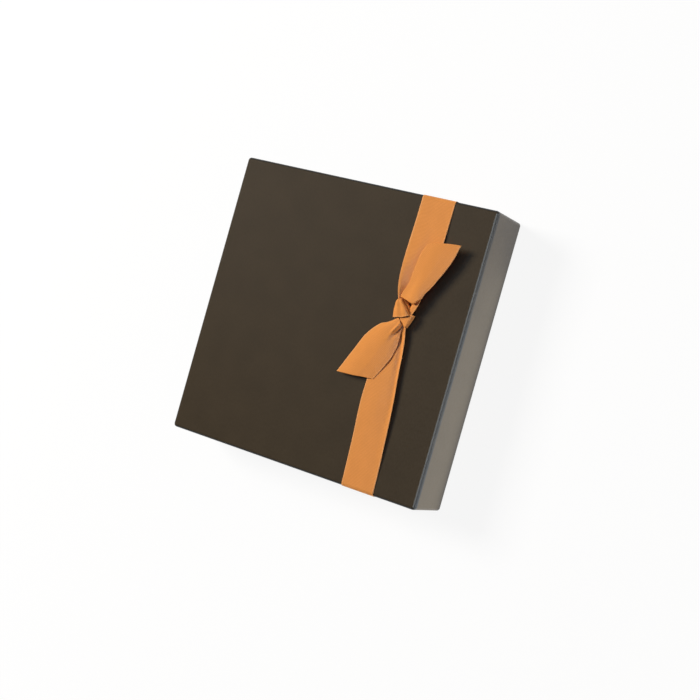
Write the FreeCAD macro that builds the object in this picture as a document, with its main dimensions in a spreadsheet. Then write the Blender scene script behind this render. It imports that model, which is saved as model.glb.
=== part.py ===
"""Rigid gift box with a full-depth lift-off lid and a tied ribbon, in millimetres.

The origin is on the table under the middle of the box. +Z is up through the lid, the ribbon runs
along Y, and the box lies on its base.
"""
import FreeCAD, Part
import math
import os
import re
import Sketcher

# Driving sizes: name, value in millimetres, degrees or a count, and what it measures
SIZES = [
    ("box_width", "170", "lid outside along X"),
    ("box_length", "170", "lid outside along Y"),
    ("box_height", "34", "table to the lid's top"),
    ("fold_radius", "1.8", "rounded fold between panel and walls, at the paper's outside"),
    ("corner_radius", "2", "upright corners, at the paper's outside"),
    ("paper_thickness", "0.2", "covering and lining paper"),
    ("stay_thickness", "0.1", "gummed corner stay, and the glue line beside it"),
    ("stay_leg", "12", "leg of a corner stay along each wall"),
    ("stay_setback", "3", "stay ends to rim and fold"),
    ("lid_board_thickness", "2", "grey board of the lid"),
    ("base_board_thickness", "2", "grey board of the base"),
    ("corner_slit", "0.3", "saw cut between two walls at a board corner"),
    ("lid_clearance", "0.8", "lid to base on each side"),
    ("rim_gap", "0.6", "lid rim to table"),
    ("turn_in", "14", "paper turned in over a rim"),
    ("turn_under", "12", "base paper turned under the bottom"),
    ("lining_gap", "0.3", "lining edge to the turned-in paper"),
    ("sheet_margin", "3", "bottom sheet to the base's edge"),
    ("cell_count", "5", "chocolate cells each way"),
    ("divider_thickness", "0.8", "card strip"),
    ("divider_end_gap", "0.3", "strip end to the lining"),
    ("slot_clearance", "0.1", "strip to slot on each side"),
    ("pad_thickness", "3.6", "quilted pad"),
    ("pad_edge_gap", "1", "pad to the lining all round"),
    ("pad_seat_gap", "0.2", "pad to the strips under it"),
    ("pad_headroom", "0.8", "pad to the lid lining"),
    ("pad_channel_depth", "0.9", "embossed channel"),
    ("pad_channel_width", "2.4", "embossed channel at the surface"),
    ("pad_tuft_count", "10", "quilted squares each way"),
    ("ribbon_width", "20.8", "satin ribbon"),
    ("ribbon_thickness", "0.3", "satin ribbon"),
    ("ribbon_inset", "37.1", "band's middle to the lid's side at +X"),
    ("ribbon_tuck", "16", "ribbon end inside the lid, above the rim"),
    ("tape_thickness", "0.1", "double-sided tape under a ribbon end"),
    ("tape_height", "10", "double-sided tape up the wall"),
    ("tape_inset", "2", "tape to the ribbon's edges"),
    ("band_rise", "2.6", "band lifted where it goes into the knot"),
    ("band_run", "24", "length over which the band lifts and gathers"),
    ("upper_gather_left", "7.1", "upper band's left edge at the knot, from the band's middle"),
    ("upper_gather_right", "3.5", "upper band's right edge at the knot, from the band's middle"),
    ("lower_gather_left", "2.9", "lower band's left edge at the knot, from the band's middle"),
    ("lower_gather_right", "3.5", "lower band's right edge at the knot, from the band's middle"),
    ("knot_shift", "0.9", "knot's middle along X, from the band's middle"),
    ("knot_y", "17.2", "knot's middle along Y, from the lid's middle"),
    ("knot_length", "15", "knot along the band"),
    ("knot_heading", "15", "direction of the turns from +Y, anticlockwise, in degrees"),
    ("knot_gap", "0.3", "free space between neighbouring turns of ribbon"),
    ("wrap_left", "7.4", "front turn's left side from the knot's middle"),
    ("wrap_right", "3.9", "front turn's right side, at its lower edge"),
    ("wrap_drop", "1.5", "front turn's lower edge below the knot's middle"),
    ("wrap_rise", "8", "front turn's upper end above the knot's middle"),
    ("wrap_end_left", "4.6", "upper end's left side"),
    ("wrap_end_right", "0.4", "upper end's right side"),
    ("wrap_edge_height", "5.6", "lower edge above the lid"),
    ("wrap_height", "6.6", "crest above the lid"),
    ("wrap_end_height", "3.2", "upper end above the lid"),
    ("turn_left", "3", "second turn's left side"),
    ("turn_right", "6.5", "second turn's right side"),
    ("turn_drop", "7.4", "second turn's lower end below the knot's middle"),
    ("turn_end", "1.2", "half the lower end's width"),
    ("turn_height", "4.8", "second turn above the lid"),
    ("turn_end_height", "3.2", "lower end above the lid"),
    ("tail_seat", "3.4", "tails above the lid at the knot"),
    ("tail_flare", "9", "length over which a tail widens"),
    ("tail_swell", "0.7", "half way along the flare, how far a tail bulges above its crest"),
    ("tail_root_cup", "0.8", "how far a root's edges hang under its middle"),
    ("tail_cup", "1.4", "how far a tail's edges hang under its middle"),
    ("upper_tail_heading", "-18.9", "direction from +Y, anticlockwise, in degrees"),
    ("upper_tail_start", "6.4", "knot's middle to the root"),
    ("upper_tail_root", "8", "width at the root"),
    ("upper_tail_shoulder", "14.6", "width half way along the flare"),
    ("upper_tail_curl", "3.2", "width taken up by the curl"),
    ("upper_tail_length", "45.2", "knot's middle to the middle of the cut end"),
    ("upper_tail_cut", "7", "slant of the cut end"),
    ("upper_tail_crest", "5", "edges above the lid where the tail is full width"),
    ("upper_tail_tip", "5.6", "edges above the lid at the tip"),
    ("lower_tail_heading", "153", "direction from +Y, anticlockwise, in degrees"),
    ("lower_tail_start", "6.4", "knot's middle to the root"),
    ("lower_tail_root", "6.4", "width at the root"),
    ("lower_tail_shoulder", "14.6", "width half way along the flare"),
    ("lower_tail_curl", "0.6", "width taken up by the curl"),
    ("lower_tail_length", "46", "knot's middle to the middle of the cut end"),
    ("lower_tail_cut", "12.3", "slant of the cut end"),
    ("lower_tail_crest", "3.2", "edges above the lid where the tail is full width"),
    ("lower_tail_tip", "1.2", "edges above the lid at the tip"),
]
NAMES = {name for name, value, note in SIZES}

doc = FreeCAD.newDocument("gift_box")
sheet = doc.addObject("Spreadsheet::Sheet", "sizes")
for row, (size_name, size_value, size_note) in enumerate(SIZES, start=1):
    sheet.set(f"A{row}", size_name)
    sheet.set(f"B{row}", size_value)
    sheet.set(f"C{row}", size_note)
    sheet.setAlias(f"B{row}", size_name)
doc.recompute()

# Places and sizes that follow from the driving ones
LID_RIM = "rim_gap"
LID_ROOM_BOTTOM = "(rim_gap + paper_thickness)"
LID_ROOM_TOP = "(box_height - paper_thickness)"
LID_BOARD_TOP = "(box_height - paper_thickness - stay_thickness)"
LID_PANEL = f"({LID_BOARD_TOP} - lid_board_thickness)"
SEAT = f"({LID_PANEL} - paper_thickness)"
LID_WALL = "(paper_thickness + stay_thickness + lid_board_thickness)"
BASE_WIDTH = f"(box_width - 2 * ({LID_WALL} + paper_thickness + lid_clearance))"
BASE_LENGTH = f"(box_length - 2 * ({LID_WALL} + paper_thickness + lid_clearance))"
BASE_WALL = "(paper_thickness + stay_thickness + base_board_thickness)"
BASE_ROOM_BOTTOM = "(2 * paper_thickness)"
BASE_BOARD_BOTTOM = "(2 * paper_thickness + stay_thickness)"
BASE_PANEL = f"({BASE_BOARD_BOTTOM} + base_board_thickness)"
BASE_ROOM_TOP = f"({SEAT} - paper_thickness)"
FLOOR = f"({BASE_PANEL} + paper_thickness)"
INSIDE_WIDTH = f"({BASE_WIDTH} - 2 * ({BASE_WALL} + paper_thickness))"
INSIDE_LENGTH = f"({BASE_LENGTH} - 2 * ({BASE_WALL} + paper_thickness))"
PAD_BOTTOM = f"({SEAT} - pad_headroom - pad_thickness)"
DIVIDER_TOP = f"({PAD_BOTTOM} - pad_seat_gap)"
RIBBON_X = "(box_width / 2 - ribbon_inset)"
RIBBON_TOP = "(box_height + ribbon_thickness)"
LID_INSIDE_Y = f"(box_length / 2 - {LID_WALL} - paper_thickness)"


def tied(expression):
    """The expression with every size named as a cell of the sheet."""
    return re.sub(r"[a-z]\w*", lambda word: "sizes." + word[0] if word[0] in NAMES else word[0], expression)


def measure(expression):
    """The expression's value now."""
    return float(sheet.evalExpression(expression))


def tie(thing, name, expression):
    """Bind one property of an object to the sheet."""
    thing.setExpression(name, tied(expression))


def shrunk(size, inset):
    """The size less the inset at both ends."""
    return f"({size} - 2 * ({inset}))"


def new_body(label):
    """An empty body with its own label."""
    body = doc.addObject("PartDesign::Body", label)
    body.Label = label
    return body


def arc_between(start, end, radius):
    """The short arc from start to end, bending left for a positive radius."""
    chord = end - start
    side = FreeCAD.Vector(-chord.y, chord.x, 0).normalize()
    reach = math.sqrt(max(radius ** 2 - (chord.Length / 2) ** 2, 0))
    centre = (start + end) * 0.5 + side * math.copysign(reach, radius)
    first, last = (start, end) if radius > 0 else (end, start)
    angles = [math.atan2(point.y - centre.y, point.x - centre.x) for point in (first, last)]
    circle = Part.Circle(centre, FreeCAD.Vector(0, 0, 1), abs(radius))
    return Part.ArcOfCircle(circle, angles[0], angles[1])


def add_loop(sketch, corners):
    """One closed outline. A corner is (x, y), or (x, y, radius, bend) where an arc leaves it.

    The bend is 1 for an arc that turns left and -1 for one that turns right.
    """
    points = [FreeCAD.Vector(measure(corner[0]), measure(corner[1]), 0) for corner in corners]
    starts = []
    ends = []
    for index, corner in enumerate(corners):
        following = points[(index + 1) % len(points)]
        if len(corner) == 2:
            edge = sketch.addGeometry(Part.LineSegment(points[index], following))
            starts.append((edge, 1))
            ends.append((edge, 2))
            continue
        edge = sketch.addGeometry(arc_between(points[index], following, measure(corner[2]) * corner[3]))
        starts.append((edge, 1 if corner[3] > 0 else 2))
        ends.append((edge, 2 if corner[3] > 0 else 1))
    for index, corner in enumerate(corners):
        follower = starts[(index + 1) % len(corners)]
        sketch.addConstraint(Sketcher.Constraint("Coincident", *ends[index], *follower))
    for index, corner in enumerate(corners):
        for kind, expression in (("DistanceX", corner[0]), ("DistanceY", corner[1])):
            rule = Sketcher.Constraint(kind, -1, 1, *starts[index], measure(expression))
            number = sketch.addConstraint(rule)
            tie(sketch, f"Constraints[{number}]", expression)
        if len(corner) > 2:
            number = sketch.addConstraint(Sketcher.Constraint("Radius", starts[index][0], measure(corner[2])))
            tie(sketch, f"Constraints[{number}]", corner[2])


def outline(body, name, role, loops, offset="0"):
    """A sketch of closed loops, parallel to one origin plane of its body."""
    sketch = body.newObject("Sketcher::SketchObject", name)
    plane = next(feature for feature in body.Origin.OriginFeatures if feature.Role == role)
    sketch.AttachmentSupport = [(plane, "")]
    sketch.MapMode = "FlatFace"
    tie(sketch, "AttachmentOffset.Base.z", offset)
    for corners in loops:
        add_loop(sketch, corners)
    return sketch


def rectangle(width, length):
    """Corners of a rectangle about the origin."""
    half_width = f"{width} / 2"
    half_length = f"{length} / 2"
    return [
        (f"-{half_width}", f"-{half_length}"),
        (half_width, f"-{half_length}"),
        (half_width, half_length),
        (f"-{half_width}", half_length),
    ]


def pad(body, sketch, length, symmetric=False):
    """Material along the sketch's normal."""
    feature = body.newObject("PartDesign::Pad", sketch.Name + "_pad")
    feature.Profile = sketch
    tie(feature, "Length", length)
    if symmetric:
        feature.SideType = "Symmetric"
    return feature


def pocket(body, sketch, depth):
    """A cut against the sketch's normal."""
    feature = body.newObject("PartDesign::Pocket", sketch.Name + "_pocket")
    feature.Profile = sketch
    tie(feature, "Length", depth)
    return feature


def round_edges(body, base, chosen, radius):
    """A fillet on the edges of a feature that the test picks."""
    doc.recompute()
    names = [f"Edge{number}" for number, edge in enumerate(base.Shape.Edges, start=1) if chosen(edge)]
    feature = body.newObject("PartDesign::Fillet", base.Name + "_round")
    feature.Base = (base, names)
    tie(feature, "Radius", radius)
    return feature


def is_upright(edge):
    """True for a straight edge along Z."""
    ends = [vertex.Point for vertex in edge.Vertexes]
    return len(ends) == 2 and (ends[1] - ends[0]).cross(FreeCAD.Vector(0, 0, 1)).Length < 1e-6


def rounded_block(label, width, length, bottom, top, inset, fold_level):
    """A block with rounded upright corners and a rounded fold all round one of its two ends.

    The inset is how far its faces lie inside the paper's outside, which sets both radii.
    """
    body = new_body(label)
    plan = outline(body, label + "_plan", "XY_Plane", [rectangle(width, length)], bottom)
    block = pad(body, plan, f"{top} - {bottom}")
    corners = round_edges(body, block, is_upright, f"corner_radius - ({inset})")
    level = measure(fold_level)

    def on_fold(edge):
        return all(abs(vertex.Z - level) < 1e-6 for vertex in edge.Vertexes)

    round_edges(body, corners, on_fold, f"fold_radius - ({inset})")
    return body


def box(label, width, length, bottom, top, x="0", y="0"):
    """A plain box centred on x and y."""
    thing = doc.addObject("Part::Box", label)
    thing.Label = label
    tie(thing, "Length", width)
    tie(thing, "Width", length)
    tie(thing, "Height", f"{top} - {bottom}")
    tie(thing, "Placement.Base.x", f"{x} - {width} / 2")
    tie(thing, "Placement.Base.y", f"{y} - {length} / 2")
    tie(thing, "Placement.Base.z", bottom)
    return thing


def combine(kind, label, base, tool):
    """A boolean of two objects."""
    thing = doc.addObject("Part::" + kind, label)
    thing.Label = label
    thing.Base = base
    thing.Tool = tool
    return thing


def corner_slits(body, name, outer_width, outer_length, wall, level, depth):
    """Slits that part the end walls of a board tray from its side walls."""
    loops = []
    for side in ("-", ""):
        for end in ("-", ""):
            inner_x = f"{side}({outer_width} / 2 - {wall} - corner_slit)"
            outer_x = f"{side}({outer_width} / 2 - {wall})"
            inner_y = f"{end}({outer_length} / 2 - {wall})"
            outer_y = f"{end}({outer_length} / 2 + corner_slit)"
            loops.append([(inner_x, inner_y), (outer_x, inner_y), (outer_x, outer_y), (inner_x, outer_y)])
    return pocket(body, outline(body, name, "XY_Plane", loops, level), depth)


def lid_board():
    """Board tray of the lid, open downwards."""
    inset = "paper_thickness + stay_thickness"
    width = shrunk("box_width", inset)
    length = shrunk("box_length", inset)
    body = rounded_block("lid_board", width, length, LID_ROOM_BOTTOM, LID_BOARD_TOP, inset, LID_BOARD_TOP)
    depth = f"{LID_PANEL} - {LID_ROOM_BOTTOM}"
    hollow = rectangle(shrunk(width, "lid_board_thickness"), shrunk(length, "lid_board_thickness"))
    pocket(body, outline(body, "lid_hollow", "XY_Plane", [hollow], LID_PANEL), depth)
    corner_slits(body, "lid_slits", width, length, "lid_board_thickness", LID_PANEL, depth)
    return body


def base_board():
    """Board tray of the base, open upwards."""
    inset = "paper_thickness + stay_thickness"
    width = shrunk(BASE_WIDTH, inset)
    length = shrunk(BASE_LENGTH, inset)
    body = rounded_block(
        "base_board", width, length, BASE_BOARD_BOTTOM, BASE_ROOM_TOP, inset, BASE_BOARD_BOTTOM
    )
    depth = f"{BASE_ROOM_TOP} - {BASE_PANEL}"
    hollow = rectangle(shrunk(width, "base_board_thickness"), shrunk(length, "base_board_thickness"))
    pocket(body, outline(body, "base_hollow", "XY_Plane", [hollow], BASE_ROOM_TOP), depth)
    corner_slits(body, "base_slits", width, length, "base_board_thickness", BASE_ROOM_TOP, depth)
    return body


def corner_stays(label, room_width, room_length, bottom, top):
    """Four gummed paper angles on the outside of a tray's corners."""
    radius = "(corner_radius - paper_thickness)"
    loops = []
    for side, across in (("-", -1), ("", 1)):
        for end, along in (("-", -1), ("", 1)):
            bend = across * along

            def place(from_side, from_end):
                x = f"{side}({room_width} / 2 - {from_side})"
                y = f"{end}({room_length} / 2 - {from_end})"
                return x, y

            loops.append([
                place("stay_leg", "0"),
                (*place(radius, "0"), radius, -bend),
                place("0", radius),
                place("0", "stay_leg"),
                place("stay_thickness", "stay_leg"),
                (*place("stay_thickness", radius), f"{radius} - stay_thickness", bend),
                place(radius, "stay_thickness"),
                place("stay_leg", "stay_thickness"),
            ])
    body = new_body(label)
    sketch = outline(body, label + "_plan", "XY_Plane", loops, f"{bottom} + stay_setback")
    pad(body, sketch, f"{top} - {bottom} - 2 * stay_setback")
    return body


def lid_wrap():
    """Covering paper of the lid, turned in over the rim."""
    room = rounded_block(
        "lid_room",
        shrunk("box_width", "paper_thickness"),
        shrunk("box_length", "paper_thickness"),
        LID_ROOM_BOTTOM,
        LID_ROOM_TOP,
        "paper_thickness",
        LID_ROOM_TOP,
    )
    outside = rounded_block("lid_outside", "box_width", "box_length", LID_RIM, "box_height", "0", "box_height")
    skin = combine("Cut", "lid_skin", outside, room)
    turned = f"({LID_RIM} + turn_in)"
    collar = box(
        "lid_collar", shrunk("box_width", LID_WALL), shrunk("box_length", LID_WALL), LID_RIM, turned
    )
    well_inset = f"{LID_WALL} + paper_thickness"
    well = box("lid_well", shrunk("box_width", well_inset), shrunk("box_length", well_inset), LID_RIM, turned)
    return combine("Cut", "lid_wrap", combine("Fuse", "lid_skin_and_collar", skin, collar), well)


def lid_lining():
    """Plain paper on the lid's inside panel and down its walls to the turned-in paper."""
    bottom = f"({LID_RIM} + turn_in + lining_gap)"
    width = shrunk("box_width", LID_WALL)
    length = shrunk("box_length", LID_WALL)
    sheet_block = box("lid_lining_block", width, length, bottom, LID_PANEL)
    inside = box(
        "lid_lining_inside", shrunk(width, "paper_thickness"), shrunk(length, "paper_thickness"), bottom, SEAT
    )
    return combine("Cut", "lid_lining", sheet_block, inside)


def base_wrap():
    """Covering paper of the base walls, turned in at the rim and under the bottom."""
    room = rounded_block(
        "base_room",
        shrunk(BASE_WIDTH, "paper_thickness"),
        shrunk(BASE_LENGTH, "paper_thickness"),
        BASE_ROOM_BOTTOM,
        BASE_ROOM_TOP,
        "paper_thickness",
        BASE_ROOM_BOTTOM,
    )
    outside = rounded_block(
        "base_outside", BASE_WIDTH, BASE_LENGTH, "paper_thickness", SEAT, "0", "paper_thickness"
    )
    skin = combine("Cut", "base_skin", outside, room)
    turned = f"({SEAT} - turn_in)"
    collar = box(
        "base_collar", shrunk(BASE_WIDTH, BASE_WALL), shrunk(BASE_LENGTH, BASE_WALL), turned, SEAT
    )
    well = box("base_well", INSIDE_WIDTH, INSIDE_LENGTH, turned, SEAT)
    window = box(
        "base_window",
        shrunk(BASE_WIDTH, "turn_under"),
        shrunk(BASE_LENGTH, "turn_under"),
        "paper_thickness",
        BASE_ROOM_BOTTOM,
    )
    openings = combine("Fuse", "base_openings", well, window)
    return combine("Cut", "base_wrap", combine("Fuse", "base_skin_and_collar", skin, collar), openings)


def base_lining():
    """Plain paper on the base's floor and up its walls to the turned-in paper."""
    top = f"({SEAT} - turn_in - lining_gap)"
    sheet_block = box(
        "base_lining_block", shrunk(BASE_WIDTH, BASE_WALL), shrunk(BASE_LENGTH, BASE_WALL), BASE_PANEL, top
    )
    inside = box("base_lining_inside", INSIDE_WIDTH, INSIDE_LENGTH, FLOOR, top)
    return combine("Cut", "base_lining", sheet_block, inside)


def base_bottom_sheet():
    """Paper sheet that covers the base's bottom and its turned-under edges."""
    width = shrunk(BASE_WIDTH, "sheet_margin")
    length = shrunk(BASE_LENGTH, "sheet_margin")
    return box("base_bottom_sheet", width, length, "0", "paper_thickness")


def divider_place(inside, number):
    """Middle of a strip, counted from one."""
    return f"({inside} * ({number} / cell_count - 1 / 2))"


def divider(label, run, across, role, axis, number, slots_up):
    """One card strip, standing on the base's lining, with half-depth slots for the strips it crosses."""
    half_run = f"({run} / 2 - divider_end_gap)"
    half_slot = "(divider_thickness / 2 + slot_clearance)"
    middle = f"(({FLOOR} + {DIVIDER_TOP}) / 2)"
    open_edge = DIVIDER_TOP if slots_up else FLOOR
    closed_edge = FLOOR if slots_up else DIVIDER_TOP
    corners = [(f"-{half_run}", closed_edge), (f"-{half_run}", open_edge)]
    for slot in range(1, round(measure("cell_count"))):
        place = divider_place(run, slot)
        corners += [
            (f"{place} - {half_slot}", open_edge),
            (f"{place} - {half_slot}", middle),
            (f"{place} + {half_slot}", middle),
            (f"{place} + {half_slot}", open_edge),
        ]
    corners += [(half_run, open_edge), (half_run, closed_edge)]
    body = new_body(label)
    pad(body, outline(body, label + "_blank", role, [corners]), "divider_thickness", symmetric=True)
    tie(body, f"Placement.Base.{axis}", divider_place(across, number))
    return body


def dividers():
    """The half-lapped grid of card strips."""
    strips = []
    for number in range(1, round(measure("cell_count"))):
        strips.append(
            divider(f"divider_long_{number}", INSIDE_WIDTH, INSIDE_LENGTH, "XZ_Plane", "y", number, True)
        )
        strips.append(
            divider(f"divider_cross_{number}", INSIDE_LENGTH, INSIDE_WIDTH, "YZ_Plane", "x", number, False)
        )
    return strips


def candy_pad():
    """Quilted pad between the chocolates and the lid, with embossed channels both ways."""
    width = shrunk(INSIDE_WIDTH, "pad_edge_gap")
    length = shrunk(INSIDE_LENGTH, "pad_edge_gap")
    top = f"({PAD_BOTTOM} + pad_thickness)"
    body = new_body("candy_pad")
    plan = outline(body, "candy_pad_plan", "XY_Plane", [rectangle(width, length)], PAD_BOTTOM)
    slab = pad(body, plan, "pad_thickness")
    level = measure(top)

    def on_top(edge):
        return all(abs(vertex.Z - level) < 1e-6 for vertex in edge.Vertexes)

    round_edges(body, slab, on_top, "pad_thickness / 2")
    for role, size in (("XZ_Plane", width), ("YZ_Plane", length)):
        loops = []
        for channel in range(1, round(measure("pad_tuft_count"))):
            place = f"({size} * ({channel} / pad_tuft_count - 1 / 2))"
            loops.append([
                (f"{place} - pad_channel_width / 2", top),
                (place, f"{top} - pad_channel_depth"),
                (f"{place} + pad_channel_width / 2", top),
            ])
        groove = pocket(body, outline(body, "channels_" + role, role, loops), "box_width + box_length")
        groove.SideType = "Symmetric"
    return body


def bend_radius(run, rise):
    """Radius of an arc that leaves a straight line and rises by rise over run."""
    return f"((({run}) ^ 2 + ({rise}) ^ 2) / (2 * ({rise})))"


def ribbon_band(label, side, gather_left, gather_right):
    """Ribbon from inside one end wall, round the rim, up the wall and over the lid to the knot."""
    sign = "" if side > 0 else "-"
    knot_edge = f"({sign}knot_y + knot_length / 2 + knot_gap)"
    rise_start = f"({knot_edge} + band_run)"
    inside = f"({LID_INSIDE_Y} - tape_thickness)"
    wall = "(box_length / 2)"
    outside = "(box_length / 2 + ribbon_thickness)"
    fold_y = "(box_length / 2 - fold_radius)"
    fold_z = "(box_height - fold_radius)"
    underside = f"({LID_RIM} - ribbon_thickness)"
    end_top = f"({LID_RIM} + ribbon_tuck)"
    lift = bend_radius("band_run", "band_rise")
    lean = f"(ribbon_thickness * band_run / {lift})"
    climb = f"(ribbon_thickness * ({lift} - band_rise) / {lift})"
    route = [
        (f"({inside} - ribbon_thickness)", end_top),
        (f"({inside} - ribbon_thickness)", underside),
        (outside, underside),
        (outside, fold_z, "fold_radius + ribbon_thickness", side),
        (fold_y, RIBBON_TOP),
        (rise_start, RIBBON_TOP, f"{lift} - ribbon_thickness", -side),
        (f"({knot_edge} + {lean})", f"box_height + band_rise + {climb}"),
        (knot_edge, "box_height + band_rise", lift, side),
        (rise_start, "box_height"),
        (fold_y, "box_height", "fold_radius", -side),
        (wall, fold_z),
        (wall, LID_RIM),
        (inside, LID_RIM),
        (inside, end_top),
    ]
    corners = [(sign + corner[0], *corner[1:]) for corner in route]
    strip = new_body(label + "_strip")
    profile = outline(strip, label + "_profile", "YZ_Plane", [corners], RIBBON_X)
    pad(strip, profile, "ribbon_width", symmetric=True)
    left = f"({RIBBON_X} - ribbon_width / 2)"
    right = f"({RIBBON_X} + ribbon_width / 2)"
    left_root = f"({RIBBON_X} - {gather_left})"
    right_root = f"({RIBBON_X} + {gather_right})"
    left_bend = bend_radius("band_run", f"ribbon_width / 2 - {gather_left}")
    right_bend = bend_radius("band_run", f"ribbon_width / 2 - {gather_right}")
    plan_corners = [
        (left, f"{sign}{outside}"),
        (left, f"{sign}{rise_start}", left_bend, side),
        (left_root, f"{sign}{knot_edge}"),
        (right_root, f"{sign}{knot_edge}", right_bend, side),
        (right, f"{sign}{rise_start}"),
        (right, f"{sign}{outside}"),
    ]
    plan = new_body(label + "_plan")
    pad(plan, outline(plan, label + "_outline", "XY_Plane", [plan_corners]), "box_height + wrap_height")
    return combine("Common", label, strip, plan)


def ribbon_end_tapes():
    """Double-sided tape between each ribbon end and the lid's inside."""
    width = shrunk("ribbon_width", "tape_inset")
    top = f"({LID_RIM} + tape_height)"
    place = f"({LID_INSIDE_Y} - tape_thickness / 2)"
    far = box("ribbon_tape_far", width, "tape_thickness", LID_RIM, top, RIBBON_X, place)
    near = box("ribbon_tape_near", width, "tape_thickness", LID_RIM, top, RIBBON_X, "-" + place)
    return combine("Fuse", "ribbon_end_tapes", far, near)


def loft(label, sections, heading):
    """A form on the lid at the knot, ruled through sections along its own Y axis, turned by its heading."""
    body = new_body(label)
    sketches = []
    for number, (place, corners) in enumerate(sections, start=1):
        sketches.append(outline(body, f"{label}_section_{number}", "XZ_Plane", [corners], f"-({place})"))
    feature = body.newObject("PartDesign::AdditiveLoft", label + "_loft")
    feature.Profile = sketches[0]
    feature.Sections = sketches[1:]
    feature.Ruled = True
    tie(body, "Placement.Base.x", f"{RIBBON_X} + knot_shift")
    tie(body, "Placement.Base.y", "knot_y")
    tie(body, "Placement.Base.z", "box_height")
    tie(body, "Placement.Rotation.Angle", f"{heading} * 1 deg")
    return body


def arch_section(left, right, height):
    """Section of a turn of ribbon: flat on the lid, with a round back."""
    middle = f"(({left} + {right}) / 2)"
    radius = bend_radius(f"({right} - {left}) / 2", height)
    return [(left, "0"), (right, "0", radius, 1), (middle, height, radius, 1)]


def knot_wrap():
    """Turn of ribbon over the front of the knot, wide at its lower edge and narrow at its upper end."""
    sections = [
        ("-wrap_drop", arch_section("(-wrap_left)", "wrap_right", "wrap_edge_height")),
        ("(wrap_rise - wrap_drop) / 2", arch_section("(-wrap_left)", "wrap_right / 2", "wrap_height")),
        ("wrap_rise", arch_section("(-wrap_end_left)", "(-wrap_end_right)", "wrap_end_height")),
    ]
    return loft("ribbon_knot_wrap", sections, "knot_heading")


def knot_turn():
    """Second turn of ribbon, from under the front turn's edge down to the lower band."""
    start = "(wrap_drop + knot_gap)"
    sections = [
        (f"-{start}", arch_section("(-turn_left)", "turn_right", "turn_height")),
        ("-turn_drop", arch_section("(-turn_end)", "turn_end", "turn_end_height")),
    ]
    return loft("ribbon_knot_turn", sections, "knot_heading")


def tail_section(width, height, cup):
    """Section of a tail: a ribbon's thickness, cupped with its edges down."""
    radius = f"(({width} / 2) ^ 2 + ({cup}) ^ 2) / (2 * ({cup}))"
    left = f"-{width} / 2"
    right = f"{width} / 2"
    top = f"{height} + ribbon_thickness"
    return [(left, height, radius, -1), (right, height), (right, top, radius, 1), (left, top)]


def ribbon_tail(label, name):
    """One tail, widening from the knot to the ribbon's width, with its end cut at a slant."""
    full = f"(ribbon_width - {name}_curl)"
    root = f"({name}_start)"
    flare = f"({name}_start + tail_flare)"
    tip = f"({name}_length + {name}_cut)"
    middle = f"(({flare} + {tip}) / 2)"
    shoulder = f"({name}_start + tail_flare / 2)"
    sections = [
        (root, tail_section(f"{name}_root", "tail_seat", "tail_root_cup")),
        (shoulder, tail_section(f"{name}_shoulder", f"{name}_crest + tail_swell", "tail_cup")),
        (flare, tail_section(full, f"{name}_crest", "tail_cup")),
        (middle, tail_section(full, f"({name}_crest + {name}_tip) / 2", "tail_cup")),
        (tip, tail_section(full, f"{name}_tip", "tail_cup")),
    ]
    body = loft(label, sections, f"{name}_heading")
    near = f"({name}_length - {name}_cut)"
    far = f"({name}_length + {name}_cut)"
    beyond = f"({name}_length + 2 * {name}_cut)"
    waste = [
        ("-ribbon_width", near),
        ("ribbon_width", far),
        ("ribbon_width", beyond),
        ("-ribbon_width", beyond),
    ]
    pocket(body, outline(body, label + "_cut", "XY_Plane", [waste], "box_height"), "box_height")
    return body


SUB_PARTS = [
    lid_board(),
    corner_stays(
        "lid_corner_stays",
        shrunk("box_width", "paper_thickness"),
        shrunk("box_length", "paper_thickness"),
        LID_ROOM_BOTTOM,
        LID_PANEL,
    ),
    lid_wrap(),
    lid_lining(),
    base_board(),
    corner_stays(
        "base_corner_stays",
        shrunk(BASE_WIDTH, "paper_thickness"),
        shrunk(BASE_LENGTH, "paper_thickness"),
        BASE_PANEL,
        BASE_ROOM_TOP,
    ),
    base_wrap(),
    base_lining(),
    base_bottom_sheet(),
    *dividers(),
    candy_pad(),
    ribbon_band("ribbon_band_upper", 1, "upper_gather_left", "upper_gather_right"),
    ribbon_band("ribbon_band_lower", -1, "lower_gather_left", "lower_gather_right"),
    ribbon_end_tapes(),
    knot_wrap(),
    knot_turn(),
    ribbon_tail("ribbon_tail_upper", "upper_tail"),
    ribbon_tail("ribbon_tail_lower", "lower_tail"),
]

doc.recompute()
failed = [thing.Label for thing in doc.Objects if {"Invalid", "Error"} & set(thing.State)]
failed += [part.Label for part in SUB_PARTS if part.Shape.isNull() or not part.Shape.isValid()]
if failed:
    raise RuntimeError("not built: " + ", ".join(failed))

os.makedirs("parts", exist_ok=True)
for part in SUB_PARTS:
    part.Shape.exportStep(f"parts/{part.Label}.step")
    print(part.Label, len(part.Shape.Solids), "solids", round(part.Shape.Volume, 1), "mm3")
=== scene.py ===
"""Looks of the gift box: papers, boards, a quilted pad and a tied satin ribbon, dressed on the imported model.

Ribbon points are in millimetres from the middle of the lid's top. All else is in metres.
"""
import math

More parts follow.
